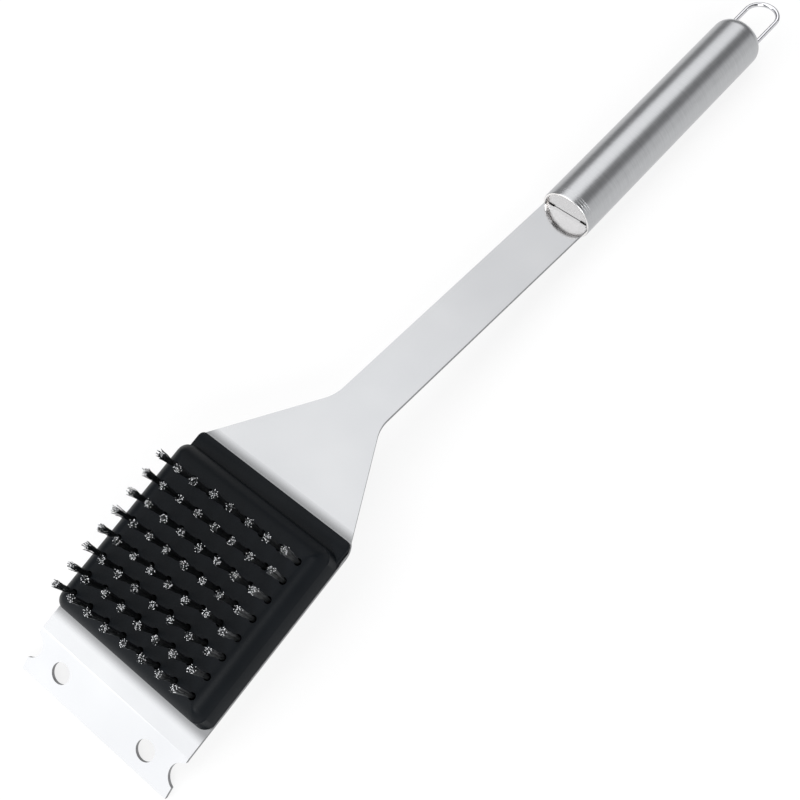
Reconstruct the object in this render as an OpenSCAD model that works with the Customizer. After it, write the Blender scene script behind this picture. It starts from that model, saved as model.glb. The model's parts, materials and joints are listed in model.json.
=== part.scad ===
// Grill cleaning brush: a stamped steel blade with a scraper lip, a plastic
// bristle block, and a tubular handle with a wire hang loop. It lies on its
// back, bristles up, on the scraper's front edge and the handle's rear end.
// X runs from the scraper to the hang loop, Y across, Z up, and the origin is
// at the bottom centre of the whole brush.

/* [Blade] */
// Thickness of the steel sheet
sheet_t = 1.5; // [1:0.1:2]
// Width of the scraper and of the plate under the block
blade_w = 81; // [79:1:90]
// Width of the scraper's front edge
edge_w = 80; // [76:1:81]
// Distance from the middle of the block to the scraper's bend
front_bend = 53.1; // [50:0.1:58]
// Length of the scraper in front of its bend
lip_l = 18.6; // [17:0.1:24]
// Angle of the scraper below the plate
lip_drop = 23.5; // [10:0.5:35]
// Distance from the middle of the block to the bend behind it
rear_bend = 45.7; // [44:0.1:52]
// Length of the shank from that bend to the handle
shank_l = 183.9; // [150:0.1:240]
// Width of the shank
shank_w = 24; // [22:0.5:24.5]
// Angle of the shank below the plate
shank_drop = 19.4; // [12:0.1:26]
// Inner radius of the bends
bend_r = 3; // [1:0.5:6]
// Radius of the two holes in the scraper
hole_r = 4.4; // [3:0.1:5]
// Distance of each hole from the middle line
hole_y = 23.6; // [15:0.1:26]
// Distance of the holes from the scraper's bend
hole_s = 9; // [7:0.1:10]
// Radius of the notch in each side of the scraper
notch_r = 5.9; // [4:0.1:7]

/* [Block] */
// Height of the block above the plate
block_h = 14.3; // [13:0.1:20]
// Distance from the middle of the block to its front wall
block_front = 42; // [40:0.1:46]
// Distance from the middle of the block to its rear wall
block_rear = 39; // [36:0.1:40]
// Width of the block at its foot
block_w = 80.8; // [78:0.1:81]
// How far each wall leans in over its height
block_draft = 2; // [0.5:0.1:3]
// Rounding of the top edges
block_round = 4; // [2:0.1:5]
// Thickness of the low lip behind the block
flange_t = 2; // [1:0.1:4]

/* [Bristles] */
// Number of rows along the brush, and of tufts in a row
tufts = 8; // [4:2:8]
// Distance between rows along the brush
row_pitch = 8.72; // [8.4:0.01:9]
// Distance between tufts across the brush
tuft_pitch = 9.11; // [8.4:0.01:9.4]
// Position of the row nearest to the handle
first_row_x = 27.9; // [27:0.1:29]
// Free length of a tuft above the block
tuft_l = 17.1; // [10:0.1:22]
// Radius of a tuft in its hole
tuft_r = 1.3; // [1:0.05:1.6]
// Radius of a tuft at its splayed tip
tuft_tip_r = 1.9; // [1.6:0.05:2.4]
// Depth of a tuft hole
tuft_depth = 9; // [6:0.5:11]

/* [Handle] */
// Outer diameter of the handle tube
tube_d = 25; // [25:0.5:32]
// Wall of the tube
tube_wall = 0.8; // [0.6:0.1:1]
// Length of the straight tube
tube_l = 131; // [90:1:180]
// Angle of the handle above the line of the shank
handle_rise = 5; // [1:0.1:8]
// Rounding of the handle's rear edge
cap_round = 5.6; // [3:0.1:6]
// Thickness of the front and rear caps
cap_t = 1.2; // [0.8:0.1:1.6]
// Radius of the rolled rim at the handle's front end
rim_r = 0.75; // [0.6:0.05:1]

/* [Hang loop] */
// Wire diameter
wire_d = 2.3; // [2:0.1:2.6]
// Distance between the two legs, centre to centre
loop_w = 16; // [14:0.1:16.4]
// How far the loop stands out behind the handle
loop_out = 25; // [18:0.1:30]

/* [Hidden] */
$fn = 64;

// The sheet's top face as a line in the head's own X and Z: edge, two bends,
// handle rim and end of the tang. The plate under the block is at Z = 0.
handle_drop = shank_drop - handle_rise;
tang_l = 28;
tang_w = 14;
lip_dir = [cos(lip_drop), sin(lip_drop)];
shank_dir = [cos(shank_drop), -sin(shank_drop)];
handle_dir = [cos(handle_drop), -sin(handle_drop)];
p_bend = [-front_bend, 0];
p_edge = p_bend - lip_l * lip_dir;
p_rear = [rear_bend, 0];
p_rim = p_rear + shank_l * shank_dir;
p_tang = p_rim + tang_l * handle_dir;

// The brush rests on the lower edge of the scraper and on the tube's rear end.
tube_r = tube_d / 2;
rest_front = p_edge + sheet_t * [lip_dir[1], -lip_dir[0]];
rest_rear = p_rim + tube_l * handle_dir + tube_r * [handle_dir[1], -handle_dir[0]];
rest_line = rest_rear - rest_front;
head_tilt = -atan2(rest_line[1], rest_line[0]);
handle_tilt = handle_drop - head_tilt;
function level(p) = [
    p[0] * cos(head_tilt) - p[1] * sin(head_tilt),
    p[0] * sin(head_tilt) + p[1] * cos(head_tilt)
];

// Rear cap, loop and the brush's two ends
crown_h = 1;
cap_end = tube_l + cap_round + crown_h;
wire_r = wire_d / 2;
loop_end = cap_end + loop_out;
rear_end = level(p_rim)[0] + (loop_end - wire_r) * cos(handle_tilt) + wire_r;
head_x = -(level(p_edge)[0] + rear_end) / 2;
head_z = -level(rest_front)[1];

// Blade outline
edge_skin = 1;
corner_r = 10;
neck_r = 16;
flare_x = 42.3;
neck_x = 89.5;
notch_s = 1;
notch_in = 4.6;
notch_round = 1.2;
arc_steps = 8;

// Block, tufts and their anchors
block_corner = 5;
flange_w = 79.6;
flange_end = rear_bend - 0.3;
flange_corner = 2.5;
anchor_w = 3.6;
anchor_h = 1.8;
anchor_t = 0.4;
anchor_lift = 0.8;
screw_r = 1.75;
screw_head_r = 3.5;
screw_head_h = 2.2;
recess_l = 4.4;
recess_w = 0.9;
screw_depth = 9;
screw_hole_r = 2.1;
screw_x = [-20.06, 14.82];
screw_y = 2 * tuft_pitch;

// Handle fits. The shank's shoulder sits inside the rolled rim, just short of
// the front cap, and the tang goes on through the cap's slot.
rim_depth = 2 * rim_r;
shoulder_w = 2 * (tube_r - rim_depth) - 0.4;
shoulder_gap = 0.6;
slot_w = 20.6;
slot_gap = 0.25;
collar_l = 5;
leg_gap = 0.08;
stop_gap = 0.3;
foot_r = 1.9;
foot_l = 1.5;

module on_head() {
    translate([head_x, 0, head_z])
        rotate([0, -head_tilt, 0])
            children();
}

module on_lip() {
    on_head()
        translate([p_bend[0], 0, 0])
            rotate([0, 180 - lip_drop, 0])
                children();
}

module on_handle() {
    on_head()
        translate([p_rim[0], 0, p_rim[1]])
            rotate([0, handle_drop, 0])
                children();
}

// Points along an arc, and along the arc of radius r that rounds the corner b
// between the points a and c.
function unit(v) = v / norm(v);
function arc(centre, r, start, end) =
    [for (i = [0:arc_steps])
        let (angle = start + (end - start) * i / arc_steps)
        centre + r * [cos(angle), sin(angle)]];
function corner_arc(a, b, c, r) =
    let (
        u = unit(a - b),
        v = unit(c - b),
        half = acos(u * v) / 2,
        centre = b + unit(u + v) * r / sin(half),
        from = b + u * r / tan(half) - centre,
        to = b + v * r / tan(half) - centre,
        start = atan2(from[1], from[0]),
        turn = atan2(from[0] * to[1] - from[1] * to[0], from * to)
    )
    arc(centre, r, start, start + turn);

// The sheet's face at a depth below its top face, with rounded bends.
function below(p, dir_a, dir_b, depth) =
    let (mid = unit(dir_a + dir_b))
    p + depth / (mid * dir_a) * [mid[1], -mid[0]];
function face_line(depth) =
    let (
        p0 = below(p_edge, lip_dir, lip_dir, depth),
        p1 = below(p_bend, lip_dir, [1, 0], depth),
        p2 = below(p_rear, [1, 0], shank_dir, depth),
        p3 = below(p_rim, shank_dir, handle_dir, depth),
        p4 = below(p_tang, handle_dir, handle_dir, depth),
        outer = bend_r + sheet_t - depth,
        inner = bend_r + depth
    )
    concat(
        [p0],
        corner_arc(p0, p1, p2, outer),
        corner_arc(p1, p2, p3, outer),
        corner_arc(p2, p3, p4, inner),
        [p4]
    );

function reversed(list) = [for (i = [len(list) - 1:-1:0]) list[i]];

// One half of the blade seen from above, from the front edge to the tang.
function blade_side() =
    let (
        edge_p = [p_edge[0] - edge_skin, edge_w / 2],
        bend_p = [p_bend[0], blade_w / 2],
        flare_p = [flare_x, blade_w / 2],
        neck_p = [neck_x, shank_w / 2],
        rim_p = [p_rim[0], shank_w / 2],
        shoulder_x = p_rim[0] + (rim_depth - shoulder_gap) * handle_dir[0]
    )
    concat(
        [edge_p, bend_p],
        corner_arc(bend_p, flare_p, neck_p, corner_r),
        corner_arc(flare_p, neck_p, rim_p, neck_r),
        [
            rim_p,
            [p_rim[0], shoulder_w / 2],
            [shoulder_x, shoulder_w / 2],
            [shoulder_x, tang_w / 2],
            [p_tang[0] + edge_skin, tang_w / 2]
        ]
    );

module blade_outline() {
    side = blade_side();
    polygon(concat(side, [for (p = reversed(side)) [p[0], -p[1]]]));
}

// The bite out of one side of the scraper, its two corners rounded. X runs
// from the bend towards the front edge and Y outwards.
module notch_shape() {
    side_y = blade_w / 2;
    corner_y = side_y - notch_round;
    bite_y = side_y - notch_in + notch_r;
    reach = sqrt(pow(notch_r + notch_round, 2) - pow(bite_y - corner_y, 2));
    lean = atan2(bite_y - corner_y, reach);
    end_s = notch_s + 2 * reach;
    polygon(concat(
        arc([notch_s, corner_y], notch_round, 90, lean),
        arc([notch_s + reach, bite_y], notch_r, 180 + lean, 360 - lean),
        arc([end_s, corner_y], notch_round, 180 - lean, 90),
        [[end_s, side_y + edge_skin], [notch_s, side_y + edge_skin]]
    ));
}

module steel_blade() {
    profile = concat(face_line(0), reversed(face_line(sheet_t)));
    tall = 400;
    color("gainsboro")
        difference() {
            on_head()
                intersection() {
                    rotate([90, 0, 0])
                        linear_extrude(blade_w + 2, center = true)
                            polygon(profile);
                    linear_extrude(tall, center = true)
                        blade_outline();
                }
            for (side = [-1, 1])
                on_lip() {
                    translate([hole_s, side * hole_y, 0])
                        cylinder(r = hole_r, h = 4 * sheet_t, center = true);
                    mirror([0, side < 0 ? 1 : 0, 0])
                        linear_extrude(8 * sheet_t, center = true)
                            notch_shape();
                }
            on_head()
                screw_places()
                    translate([0, 0, -2 * sheet_t])
                        cylinder(r = screw_hole_r, h = 3 * sheet_t);
        }
}

module screw_places() {
    for (x = screw_x, side = [-1, 1])
        translate([x, side * screw_y, 0])
            children();
}

module tuft_places(row) {
    for (i = [1:tufts])
        translate([
            first_row_x - (row - 1) * row_pitch,
            (i - (tufts + 1) / 2) * tuft_pitch,
            block_h - tuft_depth
        ])
            children();
}

module anchor_shape() {
    translate([0, 0, anchor_lift + anchor_h / 2])
        cube([anchor_t, anchor_w, anchor_h], center = true);
}

module block_shell() {
    foot_y = block_w / 2 - block_corner;
    top_y = foot_y + block_corner - block_draft - block_round;
    hull() {
        for (x = [-block_front + block_corner, block_rear - block_corner], side = [-1, 1])
            translate([x, side * foot_y, 0])
                cylinder(r = block_corner, h = 1, $fn = 32);
        for (x = [-block_front, block_rear], side = [-1, 1])
            translate([
                x - sign(x) * (block_draft + block_round),
                side * top_y,
                block_h - block_round
            ])
                sphere(block_round, $fn = 32);
    }
}

module flange() {
    corner_x = flange_end - flange_corner;
    corner_y = flange_w / 2 - flange_corner;
    linear_extrude(flange_t) {
        translate([0, -flange_w / 2])
            square([corner_x, flange_w]);
        translate([0, -corner_y])
            square([flange_end, 2 * corner_y]);
        for (side = [-1, 1])
            translate([corner_x, side * corner_y])
                circle(flange_corner);
    }
}

module brush_block() {
    color("#26282b")
        on_head()
            difference() {
                union() {
                    block_shell();
                    flange();
                }
                for (row = [1:tufts])
                    tuft_places(row) {
                        cylinder(r = tuft_r, h = 2 * tuft_depth);
                        anchor_shape();
                    }
                screw_places()
                    translate([0, 0, -1])
                        cylinder(r = screw_r, h = screw_depth + 1);
            }
}

// A tuft is a bundle of steel wires folded round its anchor.
module tuft_row(row) {
    color("silver")
        on_head()
            tuft_places(row)
                difference() {
                    union() {
                        cylinder(r = tuft_r, h = tuft_depth);
                        translate([0, 0, tuft_depth])
                            cylinder(r1 = tuft_r, r2 = tuft_tip_r, h = tuft_l);
                    }
                    anchor_shape();
                }
}

module anchor_row(row) {
    color("lightslategray")
        on_head()
            tuft_places(row)
                anchor_shape();
}

module block_screws() {
    color("darkgray")
        on_head()
            screw_places() {
                translate([0, 0, -sheet_t])
                    cylinder(r = screw_r, h = sheet_t + screw_depth);
                translate([0, 0, -sheet_t - screw_head_h])
                    difference() {
                        cylinder(r = screw_head_r, h = screw_head_h);
                        for (turn = [0, 90])
                            rotate([0, 0, turn])
                                cube([recess_l, recess_w, screw_head_h], center = true);
                    }
            }
}

// A solid turned about the handle's axis from a profile of radius and length.
module turned() {
    rotate([0, 90, 0])
        rotate_extrude($fn = 96)
            children();
}

module handle_tube() {
    color("silver")
        on_handle()
            turned() {
                translate([tube_r - tube_wall, rim_r])
                    square([tube_wall, tube_l - rim_r]);
                translate([tube_r - rim_r, rim_r])
                    circle(rim_r, $fn = 32);
            }
}

module front_cap() {
    color("whitesmoke")
        on_handle()
            translate([rim_depth, 0, 0])
                difference() {
                    rotate([0, 90, 0])
                        cylinder(r = tube_r - tube_wall, h = cap_t, $fn = 96);
                    translate([-cap_t, -slot_w / 2, -sheet_t - slot_gap])
                        cube([3 * cap_t, slot_w, sheet_t + 2 * slot_gap]);
                }
}

// Outline of the rear cap, set in by a wall thickness: a small arc round its
// edge that runs smoothly into a large, shallow one across its end.
module cap_profile(inset) {
    top_r = tube_r - cap_round;
    rise = cap_round + crown_h;
    crown_r = (top_r * top_r + rise * rise - cap_round * cap_round) / (2 * crown_h);
    crown_c = [0, cap_end - crown_r];
    edge_c = [top_r, tube_l];
    square([tube_r - inset, tube_l]);
    translate(edge_c)
        circle(cap_round - inset);
    intersection() {
        translate(crown_c)
            circle(crown_r - inset, $fn = 192);
        polygon([
            crown_c,
            crown_c + 2 * crown_r * unit(edge_c - crown_c),
            crown_c + [0, 2 * crown_r]
        ]);
    }
}

module rear_cap() {
    inner_r = tube_r - tube_wall;
    color("silver")
        on_handle()
            difference() {
                turned() {
                    intersection() {
                        difference() {
                            cap_profile(0);
                            cap_profile(cap_t);
                        }
                        translate([0, tube_l])
                            square([tube_r, cap_end - tube_l]);
                    }
                    translate([inner_r - cap_t, tube_l - collar_l])
                        square([cap_t, collar_l + cap_t]);
                }
                for (side = [-1, 1])
                    translate([tube_l, side * loop_w / 2, 0])
                        rotate([0, 90, 0])
                            cylinder(r = wire_r + leg_gap, h = 3 * cap_round);
            }
}

// One bent wire. Its legs slide through the rear cap, and their upset ends,
// inside the handle, stop it from coming out.
module hang_loop() {
    leg_y = loop_w / 2;
    bend_x = loop_end - wire_r - leg_y;
    wall_r = cap_round - cap_t;
    foot_edge = leg_y + foot_r - (tube_r - cap_round);
    foot_x = tube_l + sqrt(wall_r * wall_r - foot_edge * foot_edge) - stop_gap - foot_l;
    color("white")
        on_handle() {
            translate([bend_x, 0, 0])
                rotate([0, 0, -90])
                    rotate_extrude(angle = 180)
                        translate([leg_y, 0])
                            circle(wire_r, $fn = 32);
            for (side = [-1, 1])
                translate([foot_x, side * leg_y, 0])
                    rotate([0, 90, 0]) {
                        cylinder(r = wire_r, h = bend_x - foot_x, $fn = 32);
                        cylinder(r = foot_r, h = foot_l, $fn = 32);
                    }
        }
}

steel_blade();
brush_block();
for (i = [1:tufts]) {
    tuft_row(i);
    anchor_row(i);
}
block_screws();
handle_tube();
front_cap();
rear_cap();
hang_loop();
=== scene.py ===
"""Looks of the grill cleaning brush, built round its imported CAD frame.

Sizes are in millimetres, in the frame of the head (X towards the handle, Z out
of the plate on the bristle side) or of the handle (X along its axis). The
floor, the lamps and the camera are in metres, in the frame of the CAD.
"""
import json
import math
import random

import bmesh
import bpy
from mathutils import Matrix, Vector
from mathutils.geometry import delaunay_2d_cdt


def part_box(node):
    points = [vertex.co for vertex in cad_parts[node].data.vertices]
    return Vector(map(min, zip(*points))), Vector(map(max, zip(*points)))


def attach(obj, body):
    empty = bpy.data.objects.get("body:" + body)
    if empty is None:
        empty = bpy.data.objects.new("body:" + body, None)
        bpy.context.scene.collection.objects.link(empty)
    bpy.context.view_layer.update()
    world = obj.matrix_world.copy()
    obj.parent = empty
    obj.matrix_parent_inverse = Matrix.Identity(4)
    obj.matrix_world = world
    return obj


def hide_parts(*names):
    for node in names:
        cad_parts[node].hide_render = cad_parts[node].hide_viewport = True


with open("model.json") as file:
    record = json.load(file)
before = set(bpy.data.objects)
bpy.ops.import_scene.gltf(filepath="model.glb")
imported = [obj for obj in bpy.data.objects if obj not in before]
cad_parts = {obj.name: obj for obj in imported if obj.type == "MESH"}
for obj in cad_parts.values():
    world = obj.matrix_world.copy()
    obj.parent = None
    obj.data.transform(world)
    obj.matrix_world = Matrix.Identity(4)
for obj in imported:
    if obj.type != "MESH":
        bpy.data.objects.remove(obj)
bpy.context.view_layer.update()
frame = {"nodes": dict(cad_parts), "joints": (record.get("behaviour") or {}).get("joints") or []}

MM = 0.001
MERGE = 0.0001 * MM
SMOOTH = 35

# Blade: one sheet that is the scraper, the plate, the flare, the shank and the tang.
# HOLE_S and NOTCH_S are distances along the scraper, from its bend.
SHEET_T = 1.5
BLADE_W = 81
EDGE_W = 80
FRONT_BEND = 53.1
LIP_L = 18.6
LIP_DROP = math.radians(23.5)
REAR_BEND = 45.7
SHANK_L = 183.9
SHANK_W = 24
SHANK_DROP = math.radians(19.4)
HANDLE_DROP = math.radians(14.4)
BEND_R = 3
BEND_STEPS = 7
TANG_L = 28
TANG_W = 14
SHOULDER_W = 21.6
SHOULDER_L = 0.9
FLARE_X = 42.3
NECK_X = 89.5
FLARE_R = 10
NECK_R = 16
HOLE_R = 4.4
HOLE_Y = 23.6
HOLE_S = 9
NOTCH_R = 5.9
NOTCH_S = 1
NOTCH_IN = 4.6
NOTCH_ROUND = 1.2
SHEET_BEVEL = 0.16

# Tones on the blade: painted shade beside the block, painted shade darkening the shank towards the
# handle, and a gloss towards the handle
# Painted shade beside the block: its darkest factor, its reach, and the heights where the underside
# begins and stays clean
BLOCK_SHADE = 0.4
BLOCK_SHADE_L = 5
BLOCK_SHADE_Z = (-0.9 * SHEET_T, -0.8 * SHEET_T)
# Painted shade along the shank: the factor where it is darkest, near the handle
SHANK_SHADE = 0.84
SHANK_SHADE_STOP = 15           # before the handle's rim, like the next pair
GLOSS_SPAN = (45, 12)
GLOSS = 0.65

# Block, with a soft edge round its top and a low lip behind it
BLOCK_H = 14.3
BLOCK_FRONT = 42
BLOCK_REAR = 39
BLOCK_W = 80.8
BLOCK_CORNER = 5
CORNER_LOSS = 0.35
CORNER_LEAST = 1.2
BLOCK_DRAFT = 1
FOOT_H = 0.5
FOOT_DRAFT = 0.1
EDGE_ACROSS = 8
EDGE_DOWN = 6.5
EDGE_POWER = 2.5
EDGE_RINGS = 9
SHOULDER_Z = BLOCK_H - EDGE_DOWN
WALL_MARGIN = 0.02
ROOT_R = 1.5
ROOT_DEPTH = 6
FLANGE_T = 2
FLANGE_W = 79.6
FLANGE_START = 30
FLANGE_END = 45.4
FLANGE_CORNER = 2.5
FLANGE_RINGS = ((0, 0), (0, 1.3), (0.2, 1.75), (0.7, FLANGE_T))

# Tufts
TUFTS = 8
TUFT_PITCH = 9.11
FIRST_ROW_X = 27.9
ANCHOR_Z = 7
TUFT_L = 17.1
TUFT_R = 0.9
TUFT_TIP_R = 1.65
TUFT_LEAN = 0.28
ROOT_GAP = 0.2
WIRES = 34
WIRE_R = 0.13
WIRE_SIDES = 4
WIRE_STEPS = 7
WIRE_CUT = 0.965
WIRE_STATIONS = [i / WIRE_STEPS for i in range(WIRE_STEPS)] + [WIRE_CUT, 1]
WIRE_TURN = math.pi * (3 - math.sqrt(5))     # the golden angle, which spaces the wires evenly
TURN_PLAY = 0.2
SPLAY_PLAY = 0.25
BOW = (-0.3, 0.5)
TIP_UNEVEN = 0.7
TIP_FALL = 0.5
BRIGHT_SHARE = 0.55      # of the wires; the others' tips are dull
BRIGHT_START = 0.962     # a share of a wire's length
DULL_TIP = 0.96
CRIMP = 0.16
CRIMP_WAVES = 3.2
CRIMP_START = 3

# Screws
SCREW_Y = 2 * TUFT_PITCH
SCREWS = [(x, y) for x in (-20.06, 14.82) for y in (-SCREW_Y, SCREW_Y)]
SCREW_R = 1.75
SCREW_PLAY = 0.35
SCREW_HEAD_R = 3.5
SCREW_HEAD_H = 2.2
HEAD_EDGE = 0.55
HEAD_POWER = 0.6
SCREW_DEPTH = 9
SCREW_POINT_L = 1.4
SCREW_TIP_R = 0.01
SCREW_STEPS = 40
CROSS_MOUTH = (2.4, 0.5)
CROSS_BOTTOM = (1.0, 0.32)
CROSS_DEPTH = 1.3
CROSS_OVER = 0.5

# Handle
TUBE_R = 12.5
TUBE_WALL = 0.8
TUBE_L = 131
TURN_STEPS = 160
RIM_R = 0.75
RIM_ARC = (90, 335)
RIM_EDGE = 0.2           # the brushed finish reaches this far down on the rim
RING_X = (4.1, 3.0, 1.7)
RING_R = 0.09
CAP_T = 1.2
CAP_ROUND = 5.6
CROWN_H = 1
CAP_END = TUBE_L + CAP_ROUND + CROWN_H
CAP_AXIS_R = 0.02        # the crown's outline stops this near the axis, so that no ring closes up
COLLAR_L = 5
DISC_X = 2 * RIM_R
DISC_BEVEL = 0.12
SLOT_W = 20.6
SLOT_GAP = 0.25

# Loop
WIRE_D = 2.3
LOOP_W = 16
LOOP_END = CAP_END + 25
LOOP_SIDES = 28
LEG_GAP = 0.08
LEG_HOLE = (TUBE_L - 1, CAP_END + 3)
STOP_GAP = 0.3
FOOT_R = 1.9
FOOT_L = 1.5
FOOT_ROUND = 0.3
FOOT_STEP = 0.05

# Noise: the middle of its range, which the materials spread out
NOISE_LOW = 0.3
NOISE_HIGH = 0.7
NOISE_ROUGH = 0.6

# Studio
FLOOR_HALF = 30
FLOOR_TONE = (0.17, 0.17, 0.17)
FLOOR_GLOW = 0.8
WORLD_TONE = (0.23, 0.23, 0.2346)

# Camera, as fitted to the photo
CAMERA_AIM = Vector((-0.05085, -0.00361, 0.015))
CAMERA_AWAY = 0.5819
CAMERA_AZIMUTH = math.radians(48.376)
CAMERA_ELEVATION = math.radians(59.39)
CAMERA_ROLL = math.radians(8.897)
CAMERA_LENS = 63.494


# ---------------------------------------------------------------- frames

def centre(node):
    """The middle of a CAD node's box."""
    low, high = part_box(node)
    return (low + high) / 2


def frame_at(origin, along):
    """A rigid frame with X along a direction in the XZ plane and Y across."""
    x = along.normalized()
    z = Vector((-x.z, 0, x.x))
    columns = Matrix((x, Vector((0, 1, 0)), z)).transposed()
    return Matrix.Translation(origin) @ columns.to_4x4()


def head_frame():
    """The middle of the plate's top face, from the rows of anchors in the block."""
    first = centre("anchor_row_1")
    turned = frame_at(first, first - centre(f"anchor_row_{TUFTS}"))
    return turned @ Matrix.Translation((-FIRST_ROW_X * MM, 0, -ANCHOR_Z * MM))


def handle_frame():
    """The handle's axis at its front end, from the tube and the loop's slide."""
    along = Vector(frame["joints"][0]["axis"])
    return frame_at(centre("handle_tube") - along * TUBE_L / 2 * MM, along)


HEAD = head_frame()
HANDLE = handle_frame()
ROW_PITCH = (centre("anchor_row_1") - centre("anchor_row_2")).length / MM


# ---------------------------------------------------------------- outlines

def arc(middle, radius, start, end, steps=8):
    """Points along an arc, with its angles in degrees."""
    angles = [math.radians(start + (end - start) * i / steps) for i in range(steps + 1)]
    return [Vector((middle[0] + radius * math.cos(a), middle[1] + radius * math.sin(a))) for a in angles]


def circle(middle, radius, steps):
    """Points round a circle, without the first one again at the end."""
    return arc(middle, radius, 0, 360, steps)[:-1]


def fillet(a, b, c, radius):
    """The arc that rounds the corner b between the points a and c."""
    u = (Vector(a) - Vector(b)).normalized()
    v = (Vector(c) - Vector(b)).normalized()
    half = u.angle(v) / 2
    middle = Vector(b) + (u + v).normalized() * radius / math.sin(half)
    start = Vector(b) + u * radius / math.tan(half) - middle
    end = Vector(b) + v * radius / math.tan(half) - middle
    turn = math.degrees(math.atan2(start.x * end.y - start.y * end.x, start.dot(end)))
    first = math.degrees(math.atan2(start.y, start.x))
    return arc(middle, radius, first, first + turn, steps=10)


def rounded_box(x0, x1, half_w, radius):
    """A rectangle with round corners, anticlockwise."""
    left, right, top = x0 + radius, x1 - radius, half_w - radius
    points = []
    for x, y, start in ((right, top, 0), (left, top, 90), (left, -top, 180), (right, -top, 270)):
        points += arc((x, y), radius, start, start + 90)
    return points


def inside(point, loop):
    """Whether a point is inside a closed outline."""
    found = False
    for a, b in zip(loop, loop[1:] + loop[:1]):
        if (a.y > point.y) != (b.y > point.y):
            if point.x < a.x + (b.x - a.x) * (point.y - a.y) / (b.y - a.y):
                found = not found
    return found


def flat_mesh(outline, holes=(), lines=(), loops=()):
    """Triangles that fill an outline less its holes, with edges along the given lines and loops."""
    points, edges = [], []
    for loop in [outline, *holes, *loops]:
        first = len(points)
        points += loop
        edges += [(first + i, first + (i + 1) % len(loop)) for i in range(len(loop))]
    for a, b in lines:
        edges.append((len(points), len(points) + 1))
        points += [Vector(a), Vector(b)]
    found = delaunay_2d_cdt(points, edges, [], 0, 1e-6, False)
    spots, kept = found[0], []
    for face in found[2]:
        middle = sum((spots[i] for i in face), Vector((0, 0))) / 3
        if inside(middle, outline) and not any(inside(middle, hole) for hole in holes):
            kept.append(tuple(face))
    return spots, kept


# ---------------------------------------------------------------- faces

def rim_edges(faces):
    """The edges on the border of a set of triangles, each in its triangle's direction."""
    directed = {(a, b) for face in faces for a, b in zip(face, face[1:] + face[:1])}
    return [(a, b) for a, b in directed if (b, a) not in directed]


def slab_faces(faces, count):
    """A flat mesh's faces, its back's, whose points come count further on, and the walls'."""
    back = [tuple(i + count for i in reversed(face)) for face in faces]
    walls = [(a, b, b + count, a + count) for a, b in rim_edges(faces)]
    return faces + back + walls


def band(low, high):
    """The faces between two rings of point numbers."""
    count = len(low)
    return [(low[i], low[(i + 1) % count], high[(i + 1) % count], high[i]) for i in range(count)]


def add_ring(verts, outline, z):
    """Adds an outline at a height to the points, and returns its numbers."""
    first = len(verts)
    verts += [(p.x, p.y, z) for p in outline]
    return range(first, len(verts))


def add_mesh(verts, faces, more_verts, more_faces):
    """Adds one mesh's points and faces to another's."""
    first = len(verts)
    verts += more_verts
    faces += [tuple(i + first for i in face) for face in more_faces]


def lathe(profile, steps, closed=True):
    """Points and faces of a profile of (x, radius) turned about X."""
    verts = []
    for x, radius in profile:
        for k in range(steps):
            turn = 2 * math.pi * k / steps
            verts.append((x, radius * math.cos(turn), radius * math.sin(turn)))
    faces = []
    count = len(profile)
    for i in range(count if closed else count - 1):
        j = (i + 1) % count
        for k in range(steps):
            m = (k + 1) % steps
            faces.append((i * steps + k, j * steps + k, j * steps + m, i * steps + m))
    return verts, faces


def rod(path, radii, sides, up=Vector((0, 0, 1))):
    """Points and faces of a closed round bar along a path in a plane across up."""
    verts, faces = [], []
    last = len(path) - 1
    for i, (point, radius) in enumerate(zip(path, radii)):
        along = (path[min(i + 1, last)] - path[max(i - 1, 0)]).normalized()
        side = along.cross(up).normalized()
        top = side.cross(along)
        for k in range(sides):
            turn = 2 * math.pi * k / sides
            verts.append(point + radius * (math.cos(turn) * side + math.sin(turn) * top))
    for i in range(last):
        for k in range(sides):
            m = (k + 1) % sides
            a, b = i * sides, (i + 1) * sides
            faces.append((a + k, a + m, b + m, b + k))
    faces.append(tuple(range(sides)))
    faces.append(tuple(last * sides + k for k in range(sides)))
    return verts, faces


# ---------------------------------------------------------------- pieces

def placed(name, data):
    """A new object in the scene."""
    obj = bpy.data.objects.new(name, data)
    bpy.context.scene.collection.objects.link(obj)
    return obj


def piece(name, verts, faces, place, finish, smooth=SMOOTH):
    """A new object from points in millimetres in a frame, closed and with clean normals."""
    mesh = bpy.data.meshes.new(name)
    mesh.from_pydata([place @ (Vector(v) * MM) for v in verts], [], faces)
    tidy(mesh)
    obj = placed(name, mesh)
    mesh.materials.append(finish)
    shade(mesh, smooth)
    return obj


def tidy(mesh):
    """Joins points that meet, drops loose ones and turns the normals outwards."""
    work = bmesh.new()
    work.from_mesh(mesh)
    bmesh.ops.remove_doubles(work, verts=work.verts, dist=MERGE)
    loose = [v for v in work.verts if not v.link_faces]
    bmesh.ops.delete(work, geom=loose, context="VERTS")
    bmesh.ops.recalc_face_normals(work, faces=work.faces)
    work.to_mesh(mesh)
    work.free()


def shade(mesh, smooth):
    """Smooth shading, with edges sharp from an angle in degrees."""
    mesh.shade_smooth()
    mesh.set_sharp_from_angle(angle=math.radians(smooth))


def add_bevel(obj, width):
    """Small round edges that catch the light."""
    bevel = obj.modifiers.new("Edge", "BEVEL")
    bevel.width = width * MM
    bevel.segments = 2
    bevel.limit_method = "ANGLE"
    bevel.angle_limit = math.radians(50)
    bevel.harden_normals = True


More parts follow.
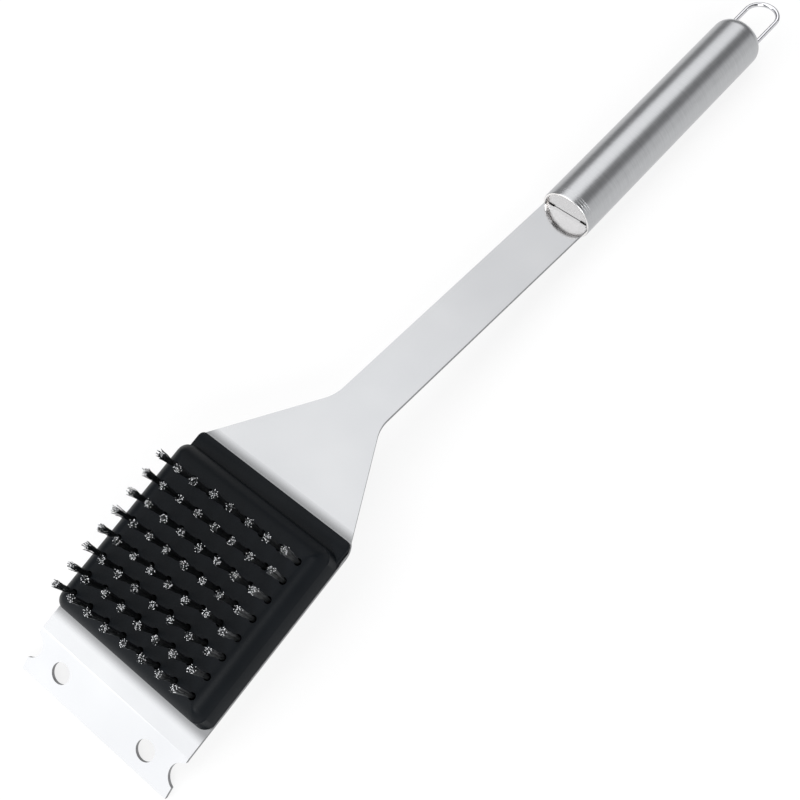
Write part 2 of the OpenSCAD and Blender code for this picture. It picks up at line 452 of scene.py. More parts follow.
def combine(obj, other, operation):
    """Joins an object with another or cuts it by that one, which is used up."""
    change = obj.modifiers.new("Change", "BOOLEAN")
    change.operation = operation
    change.solver = "EXACT"
    change.object = other
    bpy.context.view_layer.update()
    evaluated = obj.evaluated_get(bpy.context.evaluated_depsgraph_get())
    mesh = bpy.data.meshes.new_from_object(evaluated)
    obj.modifiers.remove(change)
    obj.data = mesh
    bpy.data.objects.remove(other)
    tidy(mesh)
    shade(mesh, SMOOTH)


def show(obj, body, slot, *nodes):
    """The piece rides on its body and stands for its CAD nodes; slot is not used."""
    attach(obj, body)
    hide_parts(*nodes)


# ---------------------------------------------------------------- blade

def blade_corners():
    """The sheet's top face as a line in the head's X and Z, with its directions."""
    lip = Vector((math.cos(LIP_DROP), math.sin(LIP_DROP)))
    plate = Vector((1, 0))
    shank = Vector((math.cos(SHANK_DROP), -math.sin(SHANK_DROP)))
    handle = Vector((math.cos(HANDLE_DROP), -math.sin(HANDLE_DROP)))
    bend = Vector((-FRONT_BEND, 0))
    rear = Vector((REAR_BEND, 0))
    rim = rear + shank * SHANK_L
    points = [bend - lip * LIP_L, bend, rear, rim, rim + handle * TANG_L]
    return points, [lip, plate, shank, handle]


BLADE_POINTS, BLADE_DIRS = blade_corners()
EDGE_X = BLADE_POINTS[0].x
RIM_X = BLADE_POINTS[3].x
TANG_X = BLADE_POINTS[4].x


def bend_radius(turn):
    """The top face's radius in a bend, from the direction of its turn."""
    return BEND_R + SHEET_T if turn > 0 else BEND_R


def blade_bends():
    """Each bend of the top face as its first X, last X, centre and turn."""
    bends = []
    for i, corner in enumerate(BLADE_POINTS[1:-1]):
        before, after = BLADE_DIRS[i], BLADE_DIRS[i + 1]
        turn = before.angle_signed(after)
        radius = bend_radius(turn)
        reach = radius * math.tan(abs(turn) / 2)
        start = corner - before * reach
        inward = Vector((before.y, -before.x)) * math.copysign(1, turn)
        bends.append((start.x, (corner + after * reach).x, start + inward * radius, turn))
    return bends


BLADE_BENDS = blade_bends()


def on_blade(x):
    """The point and the normal of the sheet's top face at a place along the head's X."""
    for start, end, middle, turn in BLADE_BENDS:
        if start < x < end:
            radius = bend_radius(turn)
            rise = math.sqrt(radius * radius - (x - middle.x) ** 2)
            sign = math.copysign(1, turn)
            point = Vector((x, middle.y + sign * rise))
            return point, (point - middle) * sign / radius
    leg = sum(x >= (start + end) / 2 for start, end, _, _ in BLADE_BENDS)
    along = BLADE_DIRS[leg]
    point = BLADE_POINTS[leg] + along * ((x - BLADE_POINTS[leg].x) / along.x)
    return point, Vector((-along.y, along.x))


def from_bend(s):
    """The head's X of a place on the scraper, from its distance to the bend."""
    return -FRONT_BEND - s * math.cos(LIP_DROP)


def notch_points():
    """The bite out of the scraper's side, from the front edge towards the bend."""
    side_y = BLADE_W / 2
    corner_y = side_y - NOTCH_ROUND
    bite_y = side_y - NOTCH_IN + NOTCH_R
    reach = math.sqrt((NOTCH_R + NOTCH_ROUND) ** 2 - (bite_y - corner_y) ** 2)
    lean = math.degrees(math.atan2(bite_y - corner_y, reach))
    points = arc((NOTCH_S, corner_y), NOTCH_ROUND, 90, lean, steps=6)
    points += arc((NOTCH_S + reach, bite_y), NOTCH_R, 180 + lean, 360 - lean, steps=24)
    points += arc((NOTCH_S + 2 * reach, corner_y), NOTCH_ROUND, 180 - lean, 90, steps=6)
    slope = (BLADE_W - EDGE_W) / 2 / LIP_L
    return [Vector((from_bend(p.x), min(p.y, side_y - slope * p.x))) for p in reversed(points)]


def blade_side():
    """One half of the blade seen from above, from the front edge to the tang."""
    bend = (-FRONT_BEND, BLADE_W / 2)
    flare = (FLARE_X, BLADE_W / 2)
    neck = (NECK_X, SHANK_W / 2)
    rim = (RIM_X, SHANK_W / 2)
    shoulder_x = RIM_X + SHOULDER_L * BLADE_DIRS[3].x
    points = [Vector((EDGE_X, EDGE_W / 2)), *notch_points(), Vector(bend)]
    points += fillet(bend, flare, neck, FLARE_R)
    points += fillet(flare, neck, rim, NECK_R)
    points += [Vector(rim), Vector((RIM_X, SHOULDER_W / 2)), Vector((shoulder_x, SHOULDER_W / 2))]
    return points + [Vector((shoulder_x, TANG_W / 2)), Vector((TANG_X, TANG_W / 2))]


def blade_holes():
    """The two holes in the scraper, shortened by its slope, and the screws' holes."""
    shrink = math.cos(LIP_DROP)
    holes = []
    for y in (-HOLE_Y, HOLE_Y):
        ring = circle((0, y), HOLE_R, steps=56)
        holes.append([Vector((from_bend(HOLE_S) + p.x * shrink, p.y)) for p in ring])
    return holes + [circle(spot, SCREW_R + SCREW_PLAY, steps=32) for spot in SCREWS]


def bend_lines():
    """Lines across the blade, which let the flat mesh bend."""
    lines = []
    for start, end, _, _ in BLADE_BENDS:
        for i in range(BEND_STEPS + 1):
            x = start + (end - start) * i / BEND_STEPS
            lines.append(((x, -BLADE_W), (x, BLADE_W)))
    return lines


def make_blade(finish, edge_finish):
    """The sheet: drawn flat, bent along its line, and given its thickness."""
    side = blade_side()
    outline = side + [Vector((p.x, -p.y)) for p in reversed(side)]
    spots, faces = flat_mesh(outline, blade_holes(), bend_lines())
    verts = []
    for depth in (0, SHEET_T):
        for spot in spots:
            point, normal = on_blade(min(max(spot.x, EDGE_X), TANG_X))
            verts.append((point.x - depth * normal.x, spot.y, point.y - depth * normal.y))
    blade = piece("steel_blade_sheet", verts, slab_faces(faces, len(spots)), HEAD, finish, smooth=28)
    blade.data.materials.append(edge_finish)
    for face in blade.data.polygons:
        is_wall = len(face.vertices) == 4
        face.material_index = 1 if is_wall else 0
    add_bevel(blade, SHEET_BEVEL)
    show(blade, "brush", "satin_sheet", "steel_blade")


# ---------------------------------------------------------------- block

def tuft_centres(row):
    """Where the tufts of a row stand on the head."""
    x = FIRST_ROW_X - (row - 1) * ROW_PITCH
    return [(x, (i - (TUFTS - 1) / 2) * TUFT_PITCH) for i in range(TUFTS)]


ROOTS = [Vector(spot) for row in range(1, TUFTS + 1) for spot in tuft_centres(row)]


def block_ring(inset):
    """The block's outline, set in, with corners that tighten as it shrinks."""
    radius = max(BLOCK_CORNER - CORNER_LOSS * inset, CORNER_LEAST)
    return rounded_box(-BLOCK_FRONT + inset, BLOCK_REAR - inset, BLOCK_W / 2 - inset, radius)


def block_height(spot):
    """The block's top is flat in the middle and falls away softly towards its walls."""
    middle = (BLOCK_REAR - BLOCK_FRONT) / 2
    half_l = (BLOCK_REAR + BLOCK_FRONT) / 2 - BLOCK_DRAFT
    qx = abs(spot.x - middle) - (half_l - BLOCK_CORNER)
    qy = abs(spot.y) - (BLOCK_W / 2 - BLOCK_DRAFT - BLOCK_CORNER)
    outward = math.hypot(max(qx, 0), max(qy, 0)) + min(max(qx, qy), 0) - BLOCK_CORNER
    short = min(max(1 + outward / EDGE_ACROSS, 0), 1)
    return BLOCK_H - EDGE_DOWN * short ** EDGE_POWER


def on_wall(spot):
    """Whether a point of the top lies on its outer ring."""
    return block_height(spot) < SHOULDER_Z + WALL_MARGIN


def block_top():
    """The top with its 64 root holes, as triangles on rings that follow the round edge."""
    rings = []
    for i in range(1, EDGE_RINGS + 1):
        inset = EDGE_ACROSS * (1 - math.cos(math.radians(90 * i / EDGE_RINGS)))
        rings.append(block_ring(BLOCK_DRAFT + inset))
    holes = [circle(spot, ROOT_R, steps=18) for spot in ROOTS]
    return flat_mesh(block_ring(BLOCK_DRAFT), holes, loops=rings)


def close_roots(verts, faces, spots, edges):
    """The walls and the flat bottoms of the root holes."""
    floor_z = BLOCK_H - ROOT_DEPTH
    rims = {}
    for a, b in edges:
        first = len(verts)
        verts += [(p.x, p.y, floor_z) for p in (spots[a], spots[b])]
        faces.append((b, a, first, first + 1))
        nearest = min(range(len(ROOTS)), key=lambda i: (ROOTS[i] - spots[a]).length)
        rims.setdefault(nearest, []).append(spots[a])
    for i, rim in rims.items():
        ring = sorted(rim, key=lambda p: math.atan2(p.y - ROOTS[i].y, p.x - ROOTS[i].x))
        faces.append(tuple(add_ring(verts, ring, floor_z)))


def close_foot(verts, faces):
    """The drafted walls below the round edge, and the flat underside."""
    levels = [(BLOCK_DRAFT, SHOULDER_Z), (FOOT_DRAFT, FOOT_H), (0, 0)]
    rings = [add_ring(verts, block_ring(inset), z) for inset, z in levels]
    for low, high in zip(rings[1:], rings):
        faces += band(low, high)
    faces.append(tuple(rings[-1]))


def make_flange(finish):
    """The low lip behind the block, rounded along its top."""
    verts, faces, rings = [], [], []
    for inset, z in FLANGE_RINGS:
        half_w = FLANGE_W / 2 - inset
        outline = rounded_box(FLANGE_START + inset, FLANGE_END - inset, half_w, FLANGE_CORNER)
        rings.append(add_ring(verts, outline, z))
    for low, high in zip(rings, rings[1:]):
        faces += band(low, high)
    faces += [tuple(reversed(rings[0])), tuple(rings[-1])]
    return piece("flange", verts, faces, HEAD, finish)


def make_block(finish):
    """The moulded block with its root holes, joined with its lip."""
    spots, faces = block_top()
    verts = [(p.x, p.y, block_height(p)) for p in spots]
    roots = [(a, b) for a, b in rim_edges(faces) if not on_wall(spots[a])]
    close_roots(verts, faces, spots, roots)
    close_foot(verts, faces)
    block = piece("bristle_block_body", verts, faces, HEAD, finish)
    combine(block, make_flange(finish), "UNION")
    show(block, "brush", "black_plastic", "brush_block")


# ---------------------------------------------------------------- bristles

def wire(root, tip, splay, bow, phase, twist):
    """One crimped square wire from its root to its cut end."""
    side = Vector((math.cos(twist), math.sin(twist), 0))
    path = []
    for t in WIRE_STATIONS:
        wave = CRIMP * math.sin(2 * math.pi * CRIMP_WAVES * t + phase) * min(1, CRIMP_START * t)
        path.append(root.lerp(tip, t) + splay * t ** 2 + bow * (t * t - t) + side * wave)
    return rod(path, [WIRE_R] * len(path), WIRE_SIDES, Vector((-side.y, side.x, 0)))


def tuft(spot, draw):
    """A bundle of wires that spreads a little, and each point's place along its wire."""
    verts, faces, places = [], [], []
    lean = Vector((draw.gauss(0, TUFT_LEAN), draw.gauss(0, TUFT_LEAN), 0))
    for k in range(WIRES):
        share = math.sqrt((k + 0.5) / WIRES)
        turn = k * WIRE_TURN + draw.uniform(-TURN_PLAY, TURN_PLAY)
        out = Vector((math.cos(turn), math.sin(turn), 0))
        top = BLOCK_H + TUFT_L - abs(draw.gauss(0, TIP_UNEVEN)) - TIP_FALL * share
        root = Vector((*spot, BLOCK_H - ROOT_DEPTH + ROOT_GAP)) + out * TUFT_R * share
        tip = Vector((*spot, top)) + lean + out * TUFT_R * share
        tip_r = TUFT_TIP_R * draw.uniform(1 - SPLAY_PLAY, 1 + SPLAY_PLAY)
        splay = out * share * (tip_r - TUFT_R)
        bow = out * draw.uniform(*BOW)
        phase = draw.uniform(0, 2 * math.pi)
        twist = draw.uniform(0, 2 * math.pi)
        wire_verts, wire_faces = wire(root, tip, splay, bow, phase, twist)
        add_mesh(verts, faces, wire_verts, wire_faces)
        end = 1 if draw.random() < BRIGHT_SHARE else DULL_TIP
        places += [min(WIRE_STATIONS[i // WIRE_SIDES], end) for i in range(len(wire_verts))]
    return verts, faces, places


def make_tuft_row(row, finish):
    """The eight bundles of a row, with each point's place along its wire for the material."""
    draw = random.Random(row)
    verts, faces, places = [], [], []
    for spot in tuft_centres(row):
        more_verts, more_faces, more_places = tuft(spot, draw)
        add_mesh(verts, faces, more_verts, more_faces)
        places += more_places
    bundles = piece(f"tuft_wires_{row}", verts, faces, HEAD, finish, smooth=60)
    bundles.data.attributes.new("Along", "FLOAT", "POINT").data.foreach_set("value", places)
    show(bundles, "brush", "bristle_wire", f"tuft_row_{row}")


# ---------------------------------------------------------------- screws

def screw_profile():
    """A pan head, a plain shaft and a short point, from the head's top."""
    head = [(-SHEET_T - SCREW_HEAD_H, SCREW_TIP_R)]
    for angle in range(80, -10, -10):
        a = math.radians(angle)
        height = SCREW_HEAD_H * (HEAD_EDGE + (1 - HEAD_EDGE) * math.sin(a))
        head.append((-SHEET_T - height, SCREW_HEAD_R * math.cos(a) ** HEAD_POWER))
    under = [(-SHEET_T, SCREW_HEAD_R), (-SHEET_T, SCREW_R)]
    return head + under + [(SCREW_DEPTH - SCREW_POINT_L, SCREW_R), (SCREW_DEPTH, SCREW_TIP_R)]


def cross_cutters(finish):
    """Tapered bars that cut the cross into each screw head."""
    verts, faces = [], []
    top_z = -SHEET_T - SCREW_HEAD_H
    for x, y in SCREWS:
        rings = []
        for z, (reach, half) in ((top_z - CROSS_OVER, CROSS_MOUTH), (top_z + CROSS_DEPTH, CROSS_BOTTOM)):
            ring = []
            for c, s in ((1, 0), (0, 1), (-1, 0), (0, -1)):
                for u, v in ((half, -half), (reach, -half), (reach, half)):
                    ring.append(Vector((x + c * u - s * v, y + s * u + c * v)))
            rings.append(add_ring(verts, ring, z))
        faces += [tuple(reversed(rings[0])), tuple(rings[1]), *band(*rings)]
    return piece("cross_cutters", verts, faces, HEAD, finish)


def make_screws(finish):
    """Four screws, from under the plate into the block, with a cross in each head."""
    screw_verts, screw_faces = lathe(screw_profile(), SCREW_STEPS, closed=False)
    last = len(screw_verts) - SCREW_STEPS
    screw_faces += [tuple(range(SCREW_STEPS)), tuple(range(last, len(screw_verts)))]
    verts, faces = [], []
    for x, y in SCREWS:
        add_mesh(verts, faces, [(x + v[1], y + v[2], v[0]) for v in screw_verts], screw_faces)
    screws = piece("block_screw_set", verts, faces, HEAD, finish)
    combine(screws, cross_cutters(finish), "DIFFERENCE")
    show(screws, "brush", "plated_steel", "block_screws")


# ---------------------------------------------------------------- handle

def make_tube(finish, rim_finish):
    """The tube, with a polished rolled rim and fine rings behind it."""
    rim = [(p.x, p.y) for p in arc((RIM_R, TUBE_R - RIM_R), RIM_R, *RIM_ARC, steps=16)]
    rings = []
    for x in RING_X:
        rings += [(x + RING_R, TUBE_R), (x, TUBE_R - RING_R), (x - RING_R, TUBE_R)]
    bore = [(DISC_X, TUBE_R - TUBE_WALL), (TUBE_L, TUBE_R - TUBE_WALL)]
    verts, faces = lathe([(TUBE_L, TUBE_R), *rings, *rim, *bore], TURN_STEPS)
    tube = piece("handle_tube_skin", verts, faces, HANDLE, finish, smooth=40)
    tube.data.materials.append(rim_finish)
    back = HANDLE.inverted()
    for face in tube.data.polygons:
        spot = back @ face.center / MM
        on_rim = spot.x < DISC_X and spot.yz.length < TUBE_R - RIM_EDGE
        face.material_index = 1 if on_rim else 0
    show(tube, "brush", "brushed_handle", "handle_tube")


def cap_curve(inset):
    """The rear cap's outline, set in by a wall: a round edge that runs into a shallow crown."""
    top_r = TUBE_R - CAP_ROUND
    rise = CAP_ROUND + CROWN_H
    crown_r = (top_r ** 2 + rise ** 2 - CAP_ROUND ** 2) / (2 * CROWN_H)
    crown_x = CAP_END - crown_r
    meet = math.degrees(math.atan2(top_r, TUBE_L - crown_x))
    edge = arc((TUBE_L, top_r), CAP_ROUND - inset, 90, meet, steps=10)
    crown = arc((crown_x, 0), crown_r - inset, meet, 0, steps=10)
    return [(p.x, max(p.y, CAP_AXIS_R)) for p in edge + crown[1:]]


def leg_cutters(finish):
    """Two round bars that cut the loop's holes into the rear cap."""
    verts, faces = [], []
    for y in (-LOOP_W / 2, LOOP_W / 2):
        path = [Vector((x, y, 0)) for x in LEG_HOLE]
        add_mesh(verts, faces, *rod(path, [WIRE_D / 2 + LEG_GAP] * 2, sides=40))
    return piece("leg_cutters", verts, faces, HANDLE, finish)


def make_rear_cap(finish):
    """The pressed cap with its collar inside the tube and two holes for the loop."""
    collar_r = TUBE_R - TUBE_WALL
    inner = list(reversed(cap_curve(CAP_T)[1:]))
    collar = [(TUBE_L, collar_r - CAP_T), (TUBE_L - COLLAR_L, collar_r - CAP_T),
              (TUBE_L - COLLAR_L, collar_r), (TUBE_L, collar_r)]
    verts, faces = lathe(cap_curve(0) + inner + collar, TURN_STEPS)
    cap = piece("rear_cap_shell", verts, faces, HANDLE, finish)
    combine(cap, leg_cutters(finish), "DIFFERENCE")
    show(cap, "brush", "brushed_handle", "rear_cap")


def make_front_cap(finish):
    """The flat disc in the handle's mouth, with the slot that the tang goes through."""
    low, high = -SHEET_T - SLOT_GAP, SLOT_GAP
    half = SLOT_W / 2
    slot = [Vector(p) for p in ((-half, low), (half, low), (half, high), (-half, high))]
    spots, faces = flat_mesh(circle((0, 0), TUBE_R - TUBE_WALL, steps=120), [slot])
    verts = [(DISC_X + depth, p.x, p.y) for depth in (0, CAP_T) for p in spots]
    disc = piece("front_cap_disc", verts, slab_faces(faces, len(spots)), HANDLE, finish)
    add_bevel(disc, DISC_BEVEL)
    show(disc, "brush", "polished_cap", "front_cap")


# ---------------------------------------------------------------- loop

def make_loop(finish):
    """One bent wire whose legs run through the rear cap to their upset ends."""
    wire_r = WIRE_D / 2
    leg_y = LOOP_W / 2
    wall_r = CAP_ROUND - CAP_T
    foot_edge = leg_y + FOOT_R - (TUBE_R - CAP_ROUND)
    foot_x = TUBE_L + math.sqrt(wall_r ** 2 - foot_edge ** 2) - STOP_GAP - FOOT_L
    foot_end = foot_x + FOOT_L
    leg = [(foot_x, FOOT_R - FOOT_ROUND), (foot_x + FOOT_ROUND, FOOT_R), (foot_end - FOOT_ROUND, FOOT_R),
           (foot_end, FOOT_R - FOOT_ROUND), (foot_end + FOOT_STEP, wire_r)]
    start = [(Vector((x, -leg_y, 0)), radius) for x, radius in leg]
    end = [(Vector((x, leg_y, 0)), radius) for x, radius in reversed(leg)]
    bend = arc((LOOP_END - wire_r - leg_y, 0), leg_y, -90, 90, steps=48)
    line = start + [(Vector((p.x, p.y, 0)), wire_r) for p in bend] + end
    verts, faces = rod([p for p, _ in line], [radius for _, radius in line], LOOP_SIDES)
    loop = piece("hang_loop_wire", verts, faces, HANDLE, finish, smooth=40)
    show(loop, "loop", "chrome_wire", "hang_loop")


# ---------------------------------------------------------------- shader parts

def new_finish(name, colour, roughness, metallic=1):
    """A material, its node tree and its shader, which is a metal's unless told otherwise."""
    finish = bpy.data.materials.new(name)
    finish.use_nodes = True
    shader = finish.node_tree.nodes["Principled BSDF"]
    shader.inputs["Base Color"].default_value = (*colour, 1)
    shader.inputs["Metallic"].default_value = metallic
    shader.inputs["Roughness"].default_value = roughness
    return finish, finish.node_tree, shader


def space(tree, place):
    """The object's own space, seen from the frame of the head or the handle."""
    spot = tree.nodes.new("ShaderNodeTexCoord")
    turned = tree.nodes.new("ShaderNodeMapping")
    back = place.inverted()
    turned.inputs["Location"].default_value = back.translation
    turned.inputs["Rotation"].default_value = back.to_euler()
    tree.links.new(spot.outputs["Object"], turned.inputs["Vector"])
    return turned.outputs["Vector"]


def noise(tree, scale, detail, stretch=(1, 1, 1), place=HEAD):
    """Noise over the object's space, stretched along a frame's axes."""
    mapping = tree.nodes.new("ShaderNodeMapping")
    mapping.inputs["Scale"].default_value = stretch
    texture = tree.nodes.new("ShaderNodeTexNoise")
    texture.inputs["Scale"].default_value = scale
    texture.inputs["Detail"].default_value = detail
    texture.inputs["Roughness"].default_value = NOISE_ROUGH
    tree.links.new(space(tree, place), mapping.inputs["Vector"])
    tree.links.new(mapping.outputs["Vector"], texture.inputs["Vector"])
    return texture.outputs["Fac"]


def map_range(tree, value, start, end, low, high):
    """A value's range from start to end, mapped to run from low to high."""
    node = tree.nodes.new("ShaderNodeMapRange")
    node.inputs["From Min"].default_value = start
    node.inputs["From Max"].default_value = end
    node.inputs["To Min"].default_value = low
    node.inputs["To Max"].default_value = high
    tree.links.new(value, node.inputs["Value"])
    return node


def spread(tree, value, low, high):
    """The middle of a noise's range, spread over two new limits."""
    return map_range(tree, value, NOISE_LOW, NOISE_HIGH, low, high).outputs["Result"]


def fade(tree, axis, start, end, low, high):
    """A factor that runs smoothly from low to high between two places along an axis of the head."""
    split = tree.nodes.new("ShaderNodeSeparateXYZ")
    tree.links.new(space(tree, HEAD), split.inputs["Vector"])
    node = map_range(tree, split.outputs[axis], start * MM, end * MM, low, high)
    node.interpolation_type = "SMOOTHSTEP"
    return node.outputs["Result"]


def ramp(tree, value, low, high, start=NOISE_LOW, end=NOISE_HIGH):
    """A colour that runs from low to high while a value runs from start to end."""
    node = tree.nodes.new("ShaderNodeValToRGB")
    first, last = node.color_ramp.elements
    first.position = start
    first.color = (*low, 1)
    last.position = end
    last.color = (*high, 1)
    tree.links.new(value, node.inputs["Fac"])
    return node.outputs["Color"]


def maths(tree, operation, first, second):
    """The result of an operation on two values."""
    node = tree.nodes.new("ShaderNodeMath")
    node.operation = operation
    tree.links.new(first, node.inputs[0])
    tree.links.new(second, node.inputs[1])
    return node.outputs[0]


def scaled(tree, colour, factor):
    """A colour made darker by a factor."""
    node = tree.nodes.new("ShaderNodeVectorMath")
    node.operation = "SCALE"
    tree.links.new(colour, node.inputs[0])
    tree.links.new(factor, node.inputs["Scale"])
    return node.outputs["Vector"]


def bump(tree, shader, value, strength, depth):
    """Fine relief from a value, with its depth in millimetres."""
    node = tree.nodes.new("ShaderNodeBump")
    node.inputs["Strength"].default_value = strength
    node.inputs["Distance"].default_value = depth * MM
    tree.links.new(value, node.inputs["Height"])
    tree.links.new(node.outputs["Normal"], shader.inputs["Normal"])


def vary(tree, shader, texture, colours, roughness):
    """A colour and a roughness that both run between two values with a texture."""
    tree.links.new(ramp(tree, texture, *colours), shader.inputs["Base Color"])
    tree.links.new(spread(tree, texture, *roughness), shader.inputs["Roughness"])


# ---------------------------------------------------------------- materials

def block_shade_factor(tree):
    """Painted shade beside the block and its lip, for the shadow they cast on the sheet: the shade's
    factor there, 1 on the rest of the top and on the whole underside.
    """
    behind = fade(tree, "X", FLANGE_END, FLANGE_END + BLOCK_SHADE_L, BLOCK_SHADE, 1)
    before = fade(tree, "X", -BLOCK_FRONT - BLOCK_SHADE_L, -BLOCK_FRONT, 1, BLOCK_SHADE)
    below = fade(tree, "Z", *BLOCK_SHADE_Z, 1, BLOCK_SHADE)
    return maths(tree, "MAXIMUM", maths(tree, "MAXIMUM", behind, before), below)


def satin_sheet():
    """Cold-rolled stainless sheet with a fine grain along the blade, and painted shade beside the block
    and along the shank.
    """
    finish, tree, shader = new_finish("satin_sheet", (0.43, 0.435, 0.445), roughness=0.17)
    grain = noise(tree, scale=60, detail=3, stretch=(0.5, 50, 50))
    patches = noise(tree, scale=22, detail=2)
    steel = ramp(tree, patches, (0.41, 0.416, 0.427), (0.445, 0.45, 0.459))
    # Painted shade: the shank's colour darkens from the neck towards the handle, where the light falls
    # off
    shank_shaded = scaled(tree, steel, fade(tree, "X", NECK_X, RIM_X - SHANK_SHADE_STOP, 1, SHANK_SHADE))
    # Painted shade: the base colour darkens beside the block and its lip, where their shadow falls
    tree.links.new(scaled(tree, shank_shaded, block_shade_factor(tree)), shader.inputs["Base Color"])
    gloss = fade(tree, "X", *(RIM_X - back for back in GLOSS_SPAN), 1, GLOSS)
    roughness = maths(tree, "MULTIPLY", gloss, spread(tree, grain, 0.14, 0.2))
    tree.links.new(roughness, shader.inputs["Roughness"])
    bump(tree, shader, grain, strength=0.025, depth=0.02)
    return finish


def sheared_edge():
    """The sheet's cut edges: dark, with marks of the die across them."""
    finish, tree, shader = new_finish("sheared_edge", (0.26, 0.26, 0.265), roughness=0.5)
    marks = noise(tree, scale=900, detail=3, stretch=(1, 1, 0.2))
    vary(tree, shader, marks, colours=((0.2, 0.2, 0.205), (0.32, 0.32, 0.325)), roughness=(0.4, 0.6))
    return finish


def brushed_handle():
    """Stainless tube, ground and brushed round its axis."""
    finish, tree, shader = new_finish("brushed_handle", (0.45, 0.455, 0.47), roughness=0.36)
    grain = noise(tree, scale=60, detail=3, stretch=(90, 1.2, 1.2), place=HANDLE)
    vary(tree, shader, grain, colours=((0.4, 0.407, 0.418), (0.49, 0.496, 0.506)), roughness=(0.29, 0.36))
    bump(tree, shader, grain, strength=0.1, depth=0.02)
    return finish


def polished_cap():
    """Bright polished steel, with a trace of a warm tone."""
    finish, tree, shader = new_finish("polished_cap", (0.91, 0.89, 0.875), roughness=0.26)
    specks = noise(tree, scale=1800, detail=2)
    vary(tree, shader, specks, colours=((0.9, 0.88, 0.865), (0.93, 0.91, 0.895)), roughness=(0.24, 0.28))
    bump(tree, shader, specks, strength=0.02, depth=0.01)
    return finish


def black_plastic():
    """Moulded black plastic with a fine spark-eroded texture."""
    finish, tree, shader = new_finish("black_plastic", (0.005, 0.006, 0.0075), roughness=0.45, metallic=0)
    shader.inputs["Specular IOR Level"].default_value = 0.09
    patches = noise(tree, scale=40, detail=3)
    black = ramp(tree, patches, (0.0022, 0.0034, 0.0048), (0.0038, 0.0052, 0.007))
    tree.links.new(black, shader.inputs["Base Color"])
    grain = noise(tree, scale=2600, detail=3)
    tree.links.new(spread(tree, grain, 0.36, 0.5), shader.inputs["Roughness"])
    bump(tree, shader, grain, strength=0.25, depth=0.03)
    return finish


def bristle_wire():
    """Drawn steel wire, bright at its cut end and dark along its length: partly oil, partly painted shade
    for the dark block that the wires reflect.
    """
    finish, tree, shader = new_finish("bristle_wire", (0.3, 0.3, 0.31), roughness=0.34)
    place = tree.nodes.new("ShaderNodeAttribute")
    place.attribute_name = "Along"
    # The dark body colour is partly painted shade, standing for the dark block reflected in the wires
    steel = ramp(tree, place.outputs["Fac"], (0.12, 0.125, 0.13), (0.97, 0.98, 1), BRIGHT_START, 1)
    tree.links.new(steel, shader.inputs["Base Color"])
    drawn = noise(tree, scale=900, detail=2, stretch=(1, 1, 0.3))
    tree.links.new(spread(tree, drawn, 0.26, 0.42), shader.inputs["Roughness"])
    return finish


def plated_steel():
    """Zinc plating, a little blue and uneven."""
    finish, tree, shader = new_finish("plated_steel", (0.6, 0.62, 0.66), roughness=0.26)
    patches = noise(tree, scale=500, detail=3)
    vary(tree, shader, patches, colours=((0.55, 0.58, 0.62), (0.66, 0.68, 0.71)), roughness=(0.2, 0.34))
    return finish


def chrome_wire():
    """Chrome, with slight unevenness in its gloss."""
    finish, tree, shader = new_finish("chrome_wire", (0.62, 0.62, 0.64), roughness=0.07)
    patches = noise(tree, scale=300, detail=2)
    vary(tree, shader, patches, colours=((0.59, 0.59, 0.61), (0.65, 0.65, 0.67)), roughness=(0.05, 0.12))
    return finish


# ---------------------------------------------------------------- studio

def add_floor():
    """A plain pale floor under the whole brush, with a glow that keeps it near white."""
    mesh = bpy.data.meshes.new("floor")
    corners = [(x * FLOOR_HALF, y * FLOOR_HALF, 0) for x, y in ((-1, -1), (1, -1), (1, 1), (-1, 1))]
    mesh.from_pydata(corners, [], [(0, 1, 2, 3)])
    floor = placed("floor", mesh)
    finish, _, shader = new_finish("floor_paper", FLOOR_TONE, roughness=0.8, metallic=0)
    shader.inputs["Specular IOR Level"].default_value = 0.1
    shader.inputs["Emission Color"].default_value = (1, 1, 1, 1)
    shader.inputs["Emission Strength"].default_value = FLOOR_GLOW
    mesh.materials.append(finish)


def add_panel(name, place, target, size, power):
    """A soft rectangular lamp that faces a point, in metres and watts."""
    lamp = bpy.data.lights.new(name, "AREA")
    lamp.shape = "RECTANGLE"
    lamp.size, lamp.size_y = size
    lamp.energy = power
    panel = placed(name, lamp)
    panel.location = place
    panel.rotation_mode = "QUATERNION"
    panel.rotation_quaternion = (Vector(target) - Vector(place)).to_track_quat("-Z", "Y")


def add_world():
    """A faint even light from all round."""
    world = bpy.data.worlds.new("studio")
    world.use_nodes = True
    world.node_tree.nodes["Background"].inputs["Color"].default_value = (*WORLD_TONE, 1)
    bpy.context.scene.world = world


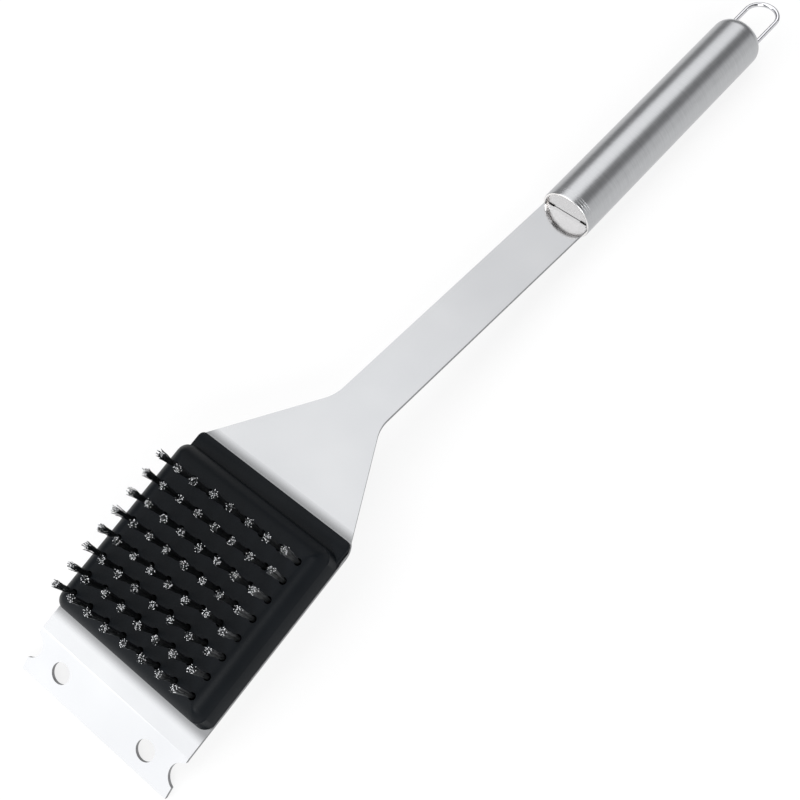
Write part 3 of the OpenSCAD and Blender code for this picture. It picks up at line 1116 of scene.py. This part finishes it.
def add_camera():
    """The camera, by its aim on the brush, its direction and its roll."""
    flat = math.cos(CAMERA_ELEVATION)
    fall = math.sin(CAMERA_ELEVATION)
    view = Vector((flat * math.cos(CAMERA_AZIMUTH), flat * math.sin(CAMERA_AZIMUTH), -fall))
    level = view.cross(Vector((0, 0, 1))).normalized()
    up = level.cross(view) * math.cos(CAMERA_ROLL) + level * math.sin(CAMERA_ROLL)
    camera = bpy.data.cameras.new("camera")
    camera.lens = CAMERA_LENS
    camera.clip_start = 0.01
    obj = placed("camera", camera)
    turned = Matrix((view.cross(up), up, -view)).transposed().to_4x4()
    obj.matrix_world = Matrix.Translation(CAMERA_AIM - view * CAMERA_AWAY) @ turned
    bpy.context.scene.camera = obj


def add_studio():
    """The floor, a faint world, and five panels above and round the brush."""
    add_floor()
    add_world()
    add_panel("rear_ceiling", (0.85, 0.52, 1.0), (0.85, 0.52, 0), (1.4, 1.3), 8.6)
    add_panel("front_ceiling", (-0.42, 0.5, 1.0), (-0.42, 0.5, 0), (1.1, 1.25), 8.0)
    add_panel("front", (-1.15, 0.55, 0.5), (-0.2, 0, 0), (1.1, 1.1), 7.6)
    add_panel("side", (0.8, -1.3, 0.42), (0.1, 0, 0), (1.8, 0.75), 3.0)
    add_panel("key", (-0.95, -1.0, 0.85), (-0.1, 0, 0), (1.0, 0.8), 20)
    bpy.context.scene.view_settings.view_transform = "Standard"


# ---------------------------------------------------------------- brush

def make_brush():
    """Every piece, and a better material on the CAD anchors inside the block."""
    handle, plated = brushed_handle(), plated_steel()
    wires, polished = bristle_wire(), polished_cap()
    make_blade(satin_sheet(), sheared_edge())
    make_block(black_plastic())
    for row in range(1, TUFTS + 1):
        make_tuft_row(row, wires)
        anchors = frame["nodes"][f"anchor_row_{row}"]
        anchors.data.materials.clear()
        anchors.data.materials.append(plated)
    make_screws(plated)
    make_tube(handle, polished)
    make_front_cap(polished)
    make_rear_cap(handle)
    make_loop(chrome_wire())


add_camera()
make_brush()
add_studio()
